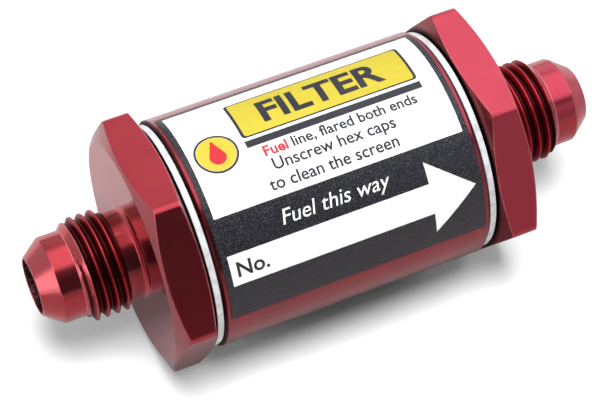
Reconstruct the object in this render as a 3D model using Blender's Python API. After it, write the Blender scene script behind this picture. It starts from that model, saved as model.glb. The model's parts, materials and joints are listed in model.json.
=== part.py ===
"""In-line fuel filter with male 37 degree flare ends at both sides.

The barrel lies along X, and fuel flows towards +X. Each hex end cap screws into the barrel
on a right-hand thread and clamps a crush washer. A pleated cartridge stands on the outlet
cap, and a spring in the inlet cap holds it there. The origin is the middle of the barrel,
on its axis. Lengths are metres.
"""

import math

import bmesh
import bpy
from mathutils import Matrix, Vector

MM = 0.001

# Barrel
BARREL_R = 15.875 * MM
BARREL_HALF = 19.2 * MM
BARREL_BORE_R = 12.9 * MM
BARREL_EDGE = 0.35 * MM
BARREL_MOUTH_R = 14.2 * MM

# Joint between barrel, washer and hex flange
SEAT_GAP = 0.05 * MM
WASHER_THICK = 0.95 * MM
WASHER_OUTER_R = 15.45 * MM
WASHER_INNER_R = 13.65 * MM
WASHER_EDGE = 0.12 * MM

# Both threads have 18 turns per inch
PITCH = 25.4 * MM / 18.0
JOINT_CREST_R = 13.40 * MM
JOINT_ROOT_R = 12.70 * MM
JOINT_CLEARANCE = 0.20 * MM
JOINT_START = 12.15 * MM
JOINT_END = 18.40 * MM
JOINT_MOUTH = 18.55 * MM
JOINT_BOTTOM = 10.80 * MM
JOINT_FADE = 0.60 * MM

# Hex flange of an end cap
HEX_ACROSS_FLATS = 31.75 * MM
HEX_CORNER_R = 18.15 * MM
HEX_INNER_X = BARREL_HALF + WASHER_THICK + 2.0 * SEAT_GAP
HEX_OUTER_X = 26.1 * MM
HEX_FACE_R = 15.2 * MM
HEX_CHAMFER = math.radians(20.7)
SEAT_FACE_R = 14.7 * MM
SEAT_CHAMFER = math.radians(17.9)
INLET_CLOCKING = math.radians(-8.7)

# Male end: 9/16-18 thread with a 37 degree nose
NECK_R = 6.2 * MM
NECK_FILLET = 0.4 * MM
FILLET_SAG = 0.3 * NECK_FILLET
THREAD_CREST_R = 7.10 * MM
THREAD_ROOT_R = 6.25 * MM
THREAD_START = 28.4 * MM
THREAD_END = 34.6 * MM
THREAD_PHASE = THREAD_START + PITCH / 2.0
THREAD_RUNOUT = 0.7 * MM
THREAD_LEAD = 1.1 * MM
LAND_R = 5.96 * MM
SHOULDER_X = 37.43 * MM
TIP_X = 40.0 * MM
FLARE_ANGLE = math.radians(37.0)
TIP_R = LAND_R - (TIP_X - SHOULDER_X) * math.tan(FLARE_ANGLE)
PORT_R = 3.77 * MM
PORT_EDGE = 0.1 * MM

# Spigot of an end cap
SPIGOT_END = 11.75 * MM
SPIGOT_NECK_R = 12.5 * MM
SPIGOT_END_R = JOINT_ROOT_R - 2.0 * JOINT_CLEARANCE
SPIGOT_POCKET_R = 10.6 * MM
POCKET_FLOOR = 17.5 * MM
RECESS_R = 5.75 * MM
RECESS_FLOOR = 18.5 * MM

# Cartridge, from its closed end at the inlet side to the gasket on the outlet cap
CLOSED_FACE_X = -9.0 * MM
OPEN_FACE_X = 16.5 * MM
END_CAP_R = 9.7 * MM
END_CAP_THICK = 1.0 * MM
END_CAP_LIP = 1.6 * MM
END_CAP_SKIN = 0.35 * MM
SPRING_BOSS_R = 4.1 * MM
SPRING_BOSS_HIGH = 1.2 * MM
CORE_R = 5.0 * MM
CORE_WALL = 0.45 * MM
CORE_HOLE_R = 0.95 * MM
CORE_HOLE_ROWS = 4
CORE_HOLES_PER_ROW = 8
CORE_HOLE_PITCH = 4.6 * MM
CORE_HOLE_SIDES = 6
DRILL_LENGTH = 3.0 * CORE_R
BOND_THICK = 0.7 * MM
PLEATS = 24
PLEAT_INNER_R = 5.98 * MM
PLEAT_OUTER_R = 9.05 * MM
SHEET_DEPTH = 0.28 * MM
SHEET_SPACING = 0.26 * MM
FIT_GAP = 0.08 * MM
CLIP_THICK = 0.2 * MM
CLIP_HALF_WIDTH = 0.9 * MM
CLIP_DROP = 0.7 * MM
GASKET_INNER_R = 6.0 * MM
GASKET_OUTER_R = 9.2 * MM

# Spring between the inlet cap and the closed end
WIRE_R = 0.42 * MM
SPRING_R = 4.85 * MM
SPRING_COILS = 5.0
CLOSED_COIL_RISE = 2.1 * WIRE_R
SPRING_STEPS = 20
WIRE_SIDES = 6

# Label, an arc of the barrel measured from the top towards -Y
LABEL_HALF = 18.4 * MM
LABEL_FROM = math.radians(-37.0)
LABEL_TO = math.radians(85.0)
LABEL_THICK = 0.10 * MM
LABEL_GAP = 0.03 * MM

MERGE_DISTANCE = 0.0001 * MM
SHARP_ANGLE = math.radians(30.0)
ROUND_STEPS = 72
WASHER_STEPS = 48
THREAD_STEPS = 36
COLUMNS_PER_FLAT = 6
CORNER_HALF = math.pi / 6.0 - math.acos(HEX_ACROSS_FLATS / 2.0 / HEX_CORNER_R)

CREST_AND_ROOT = ((0.0, 1.0), (0.125, 1.0), (0.475, 0.0), (0.65, 0.0))
PLAIN_V = ((0.0, 1.0), (0.5, 0.0))


def clear_scene():
    for obj in list(bpy.data.objects):
        bpy.data.objects.remove(obj, do_unlink=True)


def material(name, colour, roughness, metallic):
    mat = bpy.data.materials.new(name)
    mat.use_nodes = True
    shader = mat.node_tree.nodes["Principled BSDF"]
    shader.inputs["Base Color"].default_value = (*colour, 1.0)
    shader.inputs["Roughness"].default_value = roughness
    shader.inputs["Metallic"].default_value = metallic
    mat.diffuse_color = (*colour, 1.0)
    return mat


def add_object(name, bm, mat):
    """Close a bmesh into a named object with smooth round faces."""
    bmesh.ops.remove_doubles(bm, verts=bm.verts, dist=MERGE_DISTANCE)
    bmesh.ops.recalc_face_normals(bm, faces=bm.faces)
    mesh = bpy.data.meshes.new(name)
    bm.to_mesh(mesh)
    bm.free()
    mesh.materials.append(mat)
    mesh.shade_smooth()
    mesh.set_sharp_from_angle(angle=SHARP_ANGLE)
    obj = bpy.data.objects.new(name, mesh)
    bpy.context.scene.collection.objects.link(obj)
    return obj


def even_columns(count):
    return [2.0 * math.pi * i / count for i in range(count)]


def hex_columns():
    """Angles about X that hold each eased corner and share out each flat evenly."""
    reach = math.pi / 6.0 - CORNER_HALF
    columns = []
    for side in range(6):
        middle = math.pi / 2.0 + side * math.pi / 3.0
        for i in range(COLUMNS_PER_FLAT):
            columns.append(middle - reach + 2.0 * reach * i / (COLUMNS_PER_FLAT - 1))
    return columns


def hex_radius(angle):
    """Distance from the axis to a hexagon with flats on top and bottom and eased corners."""
    off_middle = (angle - math.pi / 2.0 + math.pi / 6.0) % (math.pi / 3.0) - math.pi / 6.0
    return min(HEX_ACROSS_FLATS / 2.0 / math.cos(off_middle), HEX_CORNER_R)


def ring(bm, columns, x, radius):
    """One closed row of points; x and radius may be numbers or functions of the angle."""
    row = []
    for angle in columns:
        r = radius(angle) if callable(radius) else radius
        along = x(angle) if callable(x) else x
        row.append(bm.verts.new((along, r * math.cos(angle), r * math.sin(angle))))
    return row


def join_rings(bm, first, second):
    """Faces between two rows, whose point counts may differ."""
    n, m = len(first), len(second)
    if n == m:
        for i in range(n):
            j = (i + 1) % n
            bm.faces.new((first[i], first[j], second[j], second[i]))
        return
    i = j = 0
    while i < n or j < m:
        if j >= m or (i < n and (i + 1) / n <= (j + 1) / m):
            bm.faces.new((first[i % n], first[(i + 1) % n], second[j % m]))
            i += 1
        else:
            bm.faces.new((first[i % n], second[(j + 1) % m], second[j % m]))
            j += 1


def turned(bm, columns, outline):
    """Revolve a closed outline of (x, radius) points and thread patches about X.

    A thread patch is a function that takes the mesh and the columns and returns its first
    and last rows.
    """
    ends = []
    for item in outline:
        if callable(item):
            ends.append(item(bm, columns))
        else:
            row = ring(bm, columns, *item)
            ends.append((row, row))
    for i, (_, last) in enumerate(ends):
        join_rings(bm, last, ends[(i + 1) % len(ends)][0])


def thread_patch(low, high, root, crest, phase, form, low_r, high_r, low_fade, high_fade):
    """A right-hand helical surface between two plain circles at x = low and x = high.

    Each column holds the thread form turn after turn. Points past an end stay on that end's
    circle, where they merge, and the form grows out of low_r and high_r over the two fades.
    """
    first_turn = math.floor((low - phase) / PITCH) - 2
    turns = math.ceil((high - low) / PITCH) + 5

    def point(angle, turn, share, height):
        x = phase + (turn + share + angle / (2.0 * math.pi)) * PITCH
        x = min(max(x, low), high)
        radius = root + height * (crest - root)
        radius = low_r + (radius - low_r) * min((x - low) / low_fade, 1.0)
        radius = high_r + (radius - high_r) * min((high - x) / high_fade, 1.0)
        return x, radius * math.cos(angle), radius * math.sin(angle)

    def build(bm, columns):
        rows = []
        for angle in columns:
            steps = [(first_turn + i, s, h) for i in range(turns) for s, h in form]
            rows.append([bm.verts.new(point(angle, *step)) for step in steps])
        last = len(rows[0]) - 1
        for c, near in enumerate(rows):
            # The seam joins the last column to the first one, a whole turn further on.
            far, skip = (rows[c + 1], 0) if c + 1 < len(rows) else (rows[0], len(form))
            for k in range(last):
                a, b = min(k + skip, last), min(k + 1 + skip, last)
                corners = (near[k], near[k + 1], far[b], far[a])
                if len({tuple(v.co) for v in corners}) > 2:
                    bm.faces.new(dict.fromkeys(corners))
        return [row[0] for row in rows], [row[last] for row in rows]

    return build


def joint_phase_inlet():
    """Start of the inlet joint thread, once the cap is turned about Z and clocked."""
    return -JOINT_START - PITCH / 2.0 - PITCH * INLET_CLOCKING / (2.0 * math.pi)


def end_cap_outline():
    """Outline of one end cap towards +X, from the port's mouth round to the port again."""
    def inner_chamfer(angle):
        return HEX_INNER_X + (hex_radius(angle) - SEAT_FACE_R) * math.tan(SEAT_CHAMFER)

    def outer_chamfer(angle):
        return HEX_OUTER_X - (hex_radius(angle) - HEX_FACE_R) * math.tan(HEX_CHAMFER)

    nose_thread = thread_patch(
        THREAD_START, THREAD_END, THREAD_ROOT_R, THREAD_CREST_R, THREAD_PHASE,
        CREST_AND_ROOT, NECK_R, LAND_R, THREAD_RUNOUT, THREAD_LEAD,
    )
    joint_thread = thread_patch(
        JOINT_START, JOINT_END, JOINT_ROOT_R, JOINT_CREST_R, JOINT_START,
        PLAIN_V, SPIGOT_NECK_R, SPIGOT_NECK_R, JOINT_FADE, JOINT_FADE,
    )
    return [
        (TIP_X, TIP_R),
        (SHOULDER_X, LAND_R),
        lambda bm, columns: nose_thread(bm, columns)[::-1],
        (HEX_OUTER_X + NECK_FILLET, NECK_R),
        (HEX_OUTER_X + FILLET_SAG, NECK_R + FILLET_SAG),
        (HEX_OUTER_X, NECK_R + NECK_FILLET),
        (HEX_OUTER_X, HEX_FACE_R),
        (outer_chamfer, hex_radius),
        (inner_chamfer, hex_radius),
        (HEX_INNER_X, SEAT_FACE_R),
        (HEX_INNER_X, SPIGOT_NECK_R),
        lambda bm, columns: joint_thread(bm, columns)[::-1],
        (SPIGOT_END, SPIGOT_END_R),
        (SPIGOT_END, SPIGOT_POCKET_R),
        (POCKET_FLOOR, SPIGOT_POCKET_R),
        (POCKET_FLOOR, RECESS_R),
        (RECESS_FLOOR, RECESS_R),
        (RECESS_FLOOR, PORT_R),
        (TIP_X - PORT_EDGE, PORT_R),
        (TIP_X, PORT_R + PORT_EDGE),
    ]


def build_end_caps(mat):
    """Two caps of one shape; the inlet one faces the other way and stops at its own clocking."""
    bm = bmesh.new()
    turned(bm, hex_columns(), end_cap_outline())
    outlet = add_object("outlet_cap", bm, mat)
    inlet = bpy.data.objects.new("inlet_cap", outlet.data)
    bpy.context.scene.collection.objects.link(inlet)
    clocking = Matrix.Rotation(INLET_CLOCKING, 4, "X")
    inlet.matrix_world = clocking @ Matrix.Rotation(math.pi, 4, "Z")


def build_barrel(mat):
    """Open tube with a thread and a chamfered mouth at each end."""
    root, crest = JOINT_CREST_R + JOINT_CLEARANCE, BARREL_BORE_R
    outlet_thread = thread_patch(
        JOINT_BOTTOM, JOINT_MOUTH, crest, root, JOINT_START, PLAIN_V,
        crest, root, JOINT_FADE, JOINT_FADE,
    )
    inlet_thread = thread_patch(
        -JOINT_MOUTH, -JOINT_BOTTOM, crest, root, joint_phase_inlet(), PLAIN_V,
        root, crest, JOINT_FADE, JOINT_FADE,
    )
    round_columns = even_columns(ROUND_STEPS)
    thread_columns = even_columns(THREAD_STEPS)
    bm = bmesh.new()
    outside = [
        ring(bm, round_columns, -BARREL_HALF, BARREL_R - BARREL_EDGE),
        ring(bm, round_columns, -BARREL_HALF + BARREL_EDGE, BARREL_R),
        ring(bm, round_columns, BARREL_HALF - BARREL_EDGE, BARREL_R),
        ring(bm, round_columns, BARREL_HALF, BARREL_R - BARREL_EDGE),
    ]
    outlet_mouth = ring(bm, thread_columns, BARREL_HALF, BARREL_MOUTH_R)
    outlet_low, outlet_high = outlet_thread(bm, thread_columns)
    inlet_low, inlet_high = inlet_thread(bm, thread_columns)
    inlet_mouth = ring(bm, thread_columns, -BARREL_HALF, BARREL_MOUTH_R)
    loop = outside + [outlet_mouth, outlet_high]
    for near, far in zip(loop, loop[1:]):
        join_rings(bm, near, far)
    join_rings(bm, outlet_low, inlet_high)
    join_rings(bm, inlet_low, inlet_mouth)
    join_rings(bm, inlet_mouth, outside[0])
    add_object("body_tube", bm, mat)


def build_label(mat):
    """Thin printed sheet wrapped round part of the barrel."""
    inner = BARREL_R + LABEL_GAP
    outer = inner + LABEL_THICK
    steps = round(ROUND_STEPS * (LABEL_TO - LABEL_FROM) / (2.0 * math.pi))
    bm = bmesh.new()
    rows = []
    for i in range(steps + 1):
        tilt = LABEL_FROM + (LABEL_TO - LABEL_FROM) * i / steps
        row = []
        for x, r in ((-LABEL_HALF, inner), (-LABEL_HALF, outer),
                     (LABEL_HALF, outer), (LABEL_HALF, inner)):
            row.append(bm.verts.new((x, -r * math.sin(tilt), r * math.cos(tilt))))
        rows.append(row)
    for near, far in zip(rows, rows[1:]):
        for k in range(4):
            bm.faces.new((near[k], near[(k + 1) % 4], far[(k + 1) % 4], far[k]))
    bm.faces.new(rows[0])
    bm.faces.new(rows[-1])
    add_object("body_label", bm, mat)


def build_crush_washer(name, side, mat):
    """Flat ring with eased edges between the barrel's end and a hex flange."""
    low = BARREL_HALF + SEAT_GAP
    high = low + WASHER_THICK
    edge = WASHER_EDGE
    outline = [
        (low, WASHER_INNER_R),
        (low, WASHER_OUTER_R - edge),
        (low + edge, WASHER_OUTER_R),
        (high - edge, WASHER_OUTER_R),
        (high, WASHER_OUTER_R - edge),
        (high, WASHER_INNER_R),
    ]
    bm = bmesh.new()
    turned(bm, even_columns(WASHER_STEPS), [(side * x, r) for x, r in outline])
    add_object(name, bm, mat)


def build_closed_end(mat):
    """Dished end of the cartridge, with a skirt over the pleats and a boss for the spring."""
    face = CLOSED_FACE_X
    inside = face + END_CAP_THICK
    skirt_r = END_CAP_R - END_CAP_SKIN
    outline = [
        (face - SPRING_BOSS_HIGH, SPRING_BOSS_R - END_CAP_SKIN),
        (face, SPRING_BOSS_R),
        (face, END_CAP_R - END_CAP_SKIN),
        (face + END_CAP_SKIN, END_CAP_R),
        (inside + END_CAP_LIP, END_CAP_R),
        (inside + END_CAP_LIP, skirt_r),
        (inside, skirt_r),
    ]
    columns = even_columns(THREAD_STEPS)
    bm = bmesh.new()
    rows = [ring(bm, columns, x, r) for x, r in outline]
    for near, far in zip(rows, rows[1:]):
        join_rings(bm, near, far)
    bm.faces.new(rows[0])
    bm.faces.new(rows[-1])
    add_object("element_closed_end", bm, mat)


def build_open_end(mat):
    """Ring at the outlet end of the cartridge, with a skirt over the pleats."""
    face = OPEN_FACE_X
    inside = face - END_CAP_THICK
    skirt_r = END_CAP_R - END_CAP_SKIN
    bore = CORE_R - CORE_WALL
    outline = [
        (face, bore),
        (face, END_CAP_R - END_CAP_SKIN),
        (face - END_CAP_SKIN, END_CAP_R),
        (inside - END_CAP_LIP, END_CAP_R),
        (inside - END_CAP_LIP, skirt_r),
        (inside, skirt_r),
        (inside, bore),
    ]
    bm = bmesh.new()
    turned(bm, even_columns(THREAD_STEPS), outline)
    add_object("element_open_end", bm, mat)


def cartridge_span():
    """Lowest and highest x of what stands between the cartridge's two ends."""
    low = CLOSED_FACE_X + END_CAP_THICK + FIT_GAP
    return low, OPEN_FACE_X - END_CAP_THICK - FIT_GAP


def build_core(mat):
    """Perforated tube that holds the pleats up from the inside."""
    low, high = cartridge_span()
    bore = CORE_R - CORE_WALL
    bm = bmesh.new()
    outline = [(low, bore), (low, CORE_R), (high, CORE_R), (high, bore)]
    turned(bm, even_columns(2 * CORE_HOLES_PER_ROW), outline)
    core = add_object("element_core", bm, mat)
    drills = bmesh.new()
    middle = (low + high) / 2.0
    for i in range(CORE_HOLE_ROWS):
        x = middle + (i - (CORE_HOLE_ROWS - 1) / 2.0) * CORE_HOLE_PITCH
        for k in range(CORE_HOLES_PER_ROW // 2):
            across = Matrix.Rotation(2.0 * math.pi * (k + 0.5) / CORE_HOLES_PER_ROW, 4, "X")
            place = Matrix.Translation((x, 0.0, 0.0)) @ across
            bmesh.ops.create_cone(
                drills, cap_ends=True, segments=CORE_HOLE_SIDES, radius1=CORE_HOLE_R,
                radius2=CORE_HOLE_R, depth=DRILL_LENGTH, matrix=place,
            )
    mesh = bpy.data.meshes.new("core_drills")
    drills.to_mesh(mesh)
    drills.free()
    cutter = bpy.data.objects.new("core_drills", mesh)
    cutter.hide_render = True
    cutter.display_type = "WIRE"
    bpy.context.scene.collection.objects.link(cutter)
    cut = core.modifiers.new("perforations", "BOOLEAN")
    cut.operation = "DIFFERENCE"
    cut.use_self = True
    cut.object = cutter


def build_bond(name, low, mat):
    """Ring of cured adhesive that holds the pleats in one end of the cartridge."""
    inner, outer = CORE_R + FIT_GAP, END_CAP_R - END_CAP_SKIN - FIT_GAP
    high = low + BOND_THICK
    outline = [(low, inner), (low, outer), (high, outer), (high, inner)]
    bm = bmesh.new()
    turned(bm, even_columns(THREAD_STEPS), outline)
    add_object(name, bm, mat)


def pleat_span():
    """Lowest and highest x of the pleated sheets, between the two bonds."""
    low, high = cartridge_span()
    return low + BOND_THICK + FIT_GAP, high - BOND_THICK - FIT_GAP


def pleat_row(bm, x, depth):
    """Folds of a pleated sheet at one x; depth moves them inwards."""
    row = []
    for fold in range(2 * PLEATS):
        angle = math.pi * fold / PLEATS
        radius = (PLEAT_OUTER_R if fold % 2 else PLEAT_INNER_R) - depth
        row.append(bm.verts.new((x, radius * math.cos(angle), radius * math.sin(angle))))
    return row


def build_pleated_sheet(name, depth, mat):
    """Sheet folded into pleats round the core, as one closed star-shaped sleeve."""
    low, high = pleat_span()
    bm = bmesh.new()
    corners = [(low, depth), (high, depth), (high, depth + SHEET_DEPTH)]
    corners.append((low, depth + SHEET_DEPTH))
    rows = [pleat_row(bm, *corner) for corner in corners]
    for near, far in zip(rows, rows[1:] + rows[:1]):
        join_rings(bm, near, far)
    add_object(name, bm, mat)


def build_seam_clip(mat):
    """Folded strip that closes the sheets' two ends over one outer fold."""
    low, high = pleat_span()
    low, high = low + END_CAP_LIP, high - END_CAP_LIP
    inner = PLEAT_OUTER_R + FIT_GAP
    outer = inner + CLIP_THICK
    foot = inner - CLIP_DROP
    side, inside = CLIP_HALF_WIDTH, CLIP_HALF_WIDTH - CLIP_THICK
    section = [
        (side, foot), (side, inner), (inside, outer), (-inside, outer), (-side, inner),
        (-side, foot), (-inside, foot), (-inside, inner), (inside, inner), (inside, foot),
    ]
    turn = Matrix.Rotation(math.pi / PLEATS, 4, "X")
    bm = bmesh.new()
    rows = []
    for x in (low, high):
        places = [turn @ Vector((x, radius, across)) for across, radius in section]
        rows.append([bm.verts.new(place) for place in places])
    join_rings(bm, *rows)
    for row in rows:
        bm.faces.new(row)
    add_object("element_seam_clip", bm, mat)


def build_gasket(mat):
    """Flat seal between the cartridge and the outlet cap's pocket floor."""
    low, high = OPEN_FACE_X + SEAT_GAP, POCKET_FLOOR - SEAT_GAP
    outline = [(low, GASKET_INNER_R), (low, GASKET_OUTER_R)]
    outline += [(high, GASKET_OUTER_R), (high, GASKET_INNER_R)]
    bm = bmesh.new()
    turned(bm, even_columns(THREAD_STEPS), outline)
    add_object("element_gasket", bm, mat)


def spring_height(turn, low, high):
    """Height of the wire's centre at a turn; the two end coils lie almost flat."""
    if turn < 1.0:
        return low + turn * CLOSED_COIL_RISE
    if turn > SPRING_COILS - 1.0:
        return high - (SPRING_COILS - turn) * CLOSED_COIL_RISE
    open_share = (turn - 1.0) / (SPRING_COILS - 2.0)
    return low + CLOSED_COIL_RISE + open_share * (high - low - 2.0 * CLOSED_COIL_RISE)


def build_spring(mat):
    """Coil between the recess of the inlet cap and the closed end's boss."""
    low = -RECESS_FLOOR + FIT_GAP + WIRE_R
    high = CLOSED_FACE_X - FIT_GAP - WIRE_R
    bm = bmesh.new()
    rows = []
    for i in range(round(SPRING_COILS * SPRING_STEPS) + 1):
        turn = i / SPRING_STEPS
        x = spring_height(turn, low, high)
        angle = 2.0 * math.pi * turn
        row = []
        for k in range(WIRE_SIDES):
            side = 2.0 * math.pi * (k + 0.5) / WIRE_SIDES
            r = SPRING_R + WIRE_R * math.cos(side)
            place = (x + WIRE_R * math.sin(side), r * math.cos(angle), r * math.sin(angle))
            row.append(bm.verts.new(place))
        rows.append(row)
    for near, far in zip(rows, rows[1:]):
        join_rings(bm, near, far)
    bm.faces.new(rows[0])
    bm.faces.new(rows[-1])
    add_object("element_spring", bm, mat)


def main():
    clear_scene()
    red = material("red_anodised", (0.42, 0.02, 0.035), 0.3, 1.0)
    bare = material("bare_aluminium", (0.85, 0.84, 0.85), 0.35, 1.0)
    plate = material("plated_steel", (0.62, 0.62, 0.6), 0.4, 1.0)
    wire = material("spring_steel", (0.45, 0.45, 0.46), 0.3, 1.0)
    fine = material("filter_mesh", (0.5, 0.48, 0.42), 0.5, 0.8)
    coarse = material("support_screen", (0.6, 0.6, 0.58), 0.4, 0.9)
    resin = material("bond_resin", (0.25, 0.2, 0.12), 0.45, 0.0)
    rubber = material("nitrile_rubber", (0.02, 0.02, 0.02), 0.7, 0.0)
    print_black = material("label_black", (0.03, 0.03, 0.035), 0.5, 0.0)
    build_barrel(red)
    build_label(print_black)
    build_end_caps(red)
    build_crush_washer("outlet_crush_washer", 1.0, bare)
    build_crush_washer("inlet_crush_washer", -1.0, bare)
    build_closed_end(plate)
    build_open_end(plate)
    build_core(plate)
    low, high = cartridge_span()
    build_bond("element_closed_end_bond", low, resin)
    build_bond("element_open_end_bond", high - BOND_THICK, resin)
    build_pleated_sheet("element_filter_mesh", 0.0, fine)
    build_pleated_sheet("element_support_screen", SHEET_DEPTH + SHEET_SPACING, coarse)
    build_seam_clip(plate)
    build_gasket(rubber)
    build_spring(wire)


main()
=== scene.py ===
"""Looks of an in-line fuel filter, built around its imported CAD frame.

The filter lies along X with its outlet towards +X. Each fine mesh stands for one CAD node, and
the printed layers lie on the label. Lengths are metres. Turned pieces are grids of points: one
column for each angle about X, one row for each step along the outline.
"""

import json
import math

import bmesh
import bpy
import numpy as np
from mathutils import Matrix, Vector


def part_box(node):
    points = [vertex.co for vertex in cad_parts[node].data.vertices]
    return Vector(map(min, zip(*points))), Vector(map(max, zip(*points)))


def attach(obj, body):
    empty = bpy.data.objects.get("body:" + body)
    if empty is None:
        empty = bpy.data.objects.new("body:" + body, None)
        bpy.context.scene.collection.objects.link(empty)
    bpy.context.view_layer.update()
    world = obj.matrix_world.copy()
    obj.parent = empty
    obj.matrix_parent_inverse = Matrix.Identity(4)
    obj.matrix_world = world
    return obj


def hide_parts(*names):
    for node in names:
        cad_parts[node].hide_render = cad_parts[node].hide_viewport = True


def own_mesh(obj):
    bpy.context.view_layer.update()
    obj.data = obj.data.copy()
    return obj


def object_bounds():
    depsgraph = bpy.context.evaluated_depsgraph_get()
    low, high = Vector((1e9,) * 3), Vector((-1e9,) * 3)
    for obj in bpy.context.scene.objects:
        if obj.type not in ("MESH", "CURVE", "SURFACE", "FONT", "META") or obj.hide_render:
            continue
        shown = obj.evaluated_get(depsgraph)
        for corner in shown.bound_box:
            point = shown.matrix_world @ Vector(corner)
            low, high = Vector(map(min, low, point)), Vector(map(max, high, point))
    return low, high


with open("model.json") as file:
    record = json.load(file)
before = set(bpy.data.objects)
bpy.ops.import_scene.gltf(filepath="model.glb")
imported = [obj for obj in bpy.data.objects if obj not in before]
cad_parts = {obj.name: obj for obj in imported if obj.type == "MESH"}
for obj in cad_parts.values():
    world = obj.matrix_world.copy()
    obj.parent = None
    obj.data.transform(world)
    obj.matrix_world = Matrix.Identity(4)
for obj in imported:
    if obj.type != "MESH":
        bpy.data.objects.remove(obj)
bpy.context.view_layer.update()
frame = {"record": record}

MM = 0.001
TURN = 2.0 * math.pi
PITCH = 25.4 * MM / 18.0


def mount(name):
    """Place of one of the record's mounts."""
    return Vector(next(m["pos_m"] for m in frame["record"]["mounts"] if m["name"] == name))


# Sizes that the frame holds
BARREL_HALF, BARREL_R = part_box("body_tube")[1].x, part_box("body_tube")[1].z
CAP_LOW, CAP_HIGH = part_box("outlet_cap")
SPIGOT_END, TIP_X = CAP_LOW.x, CAP_HIGH.x
HEX_OUTER_X = mount("outlet_hex_face").x
FLAT_R = mount("outlet_wrench_flat_top").z
WASHER_LOW, WASHER_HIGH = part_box("outlet_crush_washer")
FILM_LOW, FILM_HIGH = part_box("body_label")
CLOSED_LOW, CLOSED_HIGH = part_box("element_closed_end")
OPEN_LOW, OPEN_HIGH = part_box("element_open_end")
CORE_LOW, CORE_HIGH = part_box("element_core")
CLIP_LOW, CLIP_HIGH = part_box("element_seam_clip")
SPRING_LOW, SPRING_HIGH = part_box("element_spring")

# Barrel and the two joints, as in the CAD
BARREL_EDGE = 0.35 * MM
BARREL_BORE_R = 12.9 * MM
BARREL_MOUTH_R = 14.2 * MM
JOINT_CREST_R = 13.40 * MM
JOINT_ROOT_R = 12.70 * MM
JOINT_CLEARANCE = 0.20 * MM
JOINT_START = 12.15 * MM
JOINT_END = 18.40 * MM
JOINT_MOUTH = 18.55 * MM
JOINT_BOTTOM = 10.80 * MM
JOINT_FADE = 0.60 * MM
WASHER_INNER_R = 13.65 * MM

# End caps, as in the CAD
SEAT_GAP = 0.05 * MM
HEX_INNER_X = WASHER_HIGH.x + SEAT_GAP
HEX_CORNER_R = 18.15 * MM
HEX_FACE_R = 15.2 * MM
HEX_CHAMFER = math.radians(20.7)
SEAT_FACE_R = 14.7 * MM
SEAT_CHAMFER = math.radians(17.9)
INLET_CLOCKING = math.radians(-8.7)
NECK_R = 6.2 * MM
NECK_FILLET = 0.4 * MM
THREAD_CREST_R = 7.10 * MM
THREAD_ROOT_R = 6.25 * MM
THREAD_START = 28.4 * MM
THREAD_END = 34.6 * MM
THREAD_RUNOUT = 0.7 * MM
NOSE_PHASE = 0.5625 * PITCH
LAND_R = 5.96 * MM
SHOULDER_X = 37.43 * MM
TIP_R = LAND_R - (TIP_X - SHOULDER_X) * math.tan(math.radians(37.0))
PORT_R = 3.77 * MM
SPIGOT_NECK_R = 12.5 * MM
SPIGOT_END_R = JOINT_ROOT_R - 2.0 * JOINT_CLEARANCE
SPIGOT_POCKET_R = 10.6 * MM
POCKET_FLOOR = 17.5 * MM
RECESS_R = 5.75 * MM
RECESS_FLOOR = 18.5 * MM

# Cartridge and spring, as in the CAD
END_CAP_R = 9.7 * MM
END_CAP_THICK = 1.0 * MM
END_CAP_SKIN = 0.35 * MM
SPRING_BOSS_R = 4.1 * MM
SPRING_BOSS_HIGH = 1.2 * MM
CORE_R = 5.0 * MM
CORE_WALL = 0.45 * MM
CORE_HOLE_R = 0.95 * MM
CORE_HOLE_ROWS = 4
CORE_HOLES_PER_ROW = 8
CORE_HOLE_PITCH = 4.6 * MM
PLEATS = 24
PLEAT_INNER_R = 5.98 * MM
PLEAT_OUTER_R = 9.05 * MM
FOLD_ROUNDING = 0.42 * MM
SHEET_DEPTH = 0.28 * MM
SHEET_SPACING = 0.26 * MM
FIT_GAP = 0.08 * MM
CLIP_THICK = 0.2 * MM
CLIP_HALF_WIDTH = 0.9 * MM
CLIP_DROP = 0.7 * MM
GASKET_INNER_R = 6.0 * MM
GASKET_OUTER_R = 9.2 * MM
WIRE_R = 0.42 * MM
SPRING_R = 4.85 * MM
SPRING_COILS = 5.0
END_COIL_PITCH = 2.1 * WIRE_R

# Label film and its print, placed by x and by the angle from the top towards -Y
FILM_FROM = math.radians(-37.0)
FILM_TO = math.radians(85.0)
FILM_INNER_R = BARREL_R + 0.03 * MM
FILM_OUTER_R = FILM_INNER_R + 0.10 * MM
INK_THICK = 0.012 * MM
INK_GAP = 0.002 * MM
WRAP_STEP = math.radians(2.0)

MERGE = 1e-7
SHARP = math.radians(40.0)
ROUND_COLUMNS = 192
FINE_COLUMNS = 96
CORNER_STEPS = 4
FOLD_STEPS = 5


def add_object(name, data):
    obj = bpy.data.objects.new(name, data)
    bpy.context.scene.collection.objects.link(obj)
    return obj


def mesh_from(bm, name):
    """Mesh from a bmesh, which it frees."""
    mesh = bpy.data.meshes.new(name)
    bm.to_mesh(mesh)
    bm.free()
    return mesh


def evaluated_mesh(obj):
    bpy.context.view_layer.update()
    return bpy.data.meshes.new_from_object(obj.evaluated_get(bpy.context.evaluated_depsgraph_get()))


# ---------------------------------------------------------------- turned grids

def even_columns(count):
    return np.arange(count) * TURN / count


def ease(t, width):
    """max(t, 0) with its corner rounded over +-width."""
    blend = (t + width) ** 2 / (4.0 * width)
    return np.where(t < -width, 0.0, np.where(t > width, t, blend))


def smooth_step(t):
    t = np.clip(t, 0.0, 1.0)
    return t * t * (3.0 - 2.0 * t)


def spread(x, r, columns):
    """One row of the grid, from an x and a radius that may each vary by column."""
    row = np.empty((len(columns), 2))
    row[:, 0] = x(columns) if callable(x) else x
    row[:, 1] = r(columns) if callable(r) else r
    return row


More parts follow.
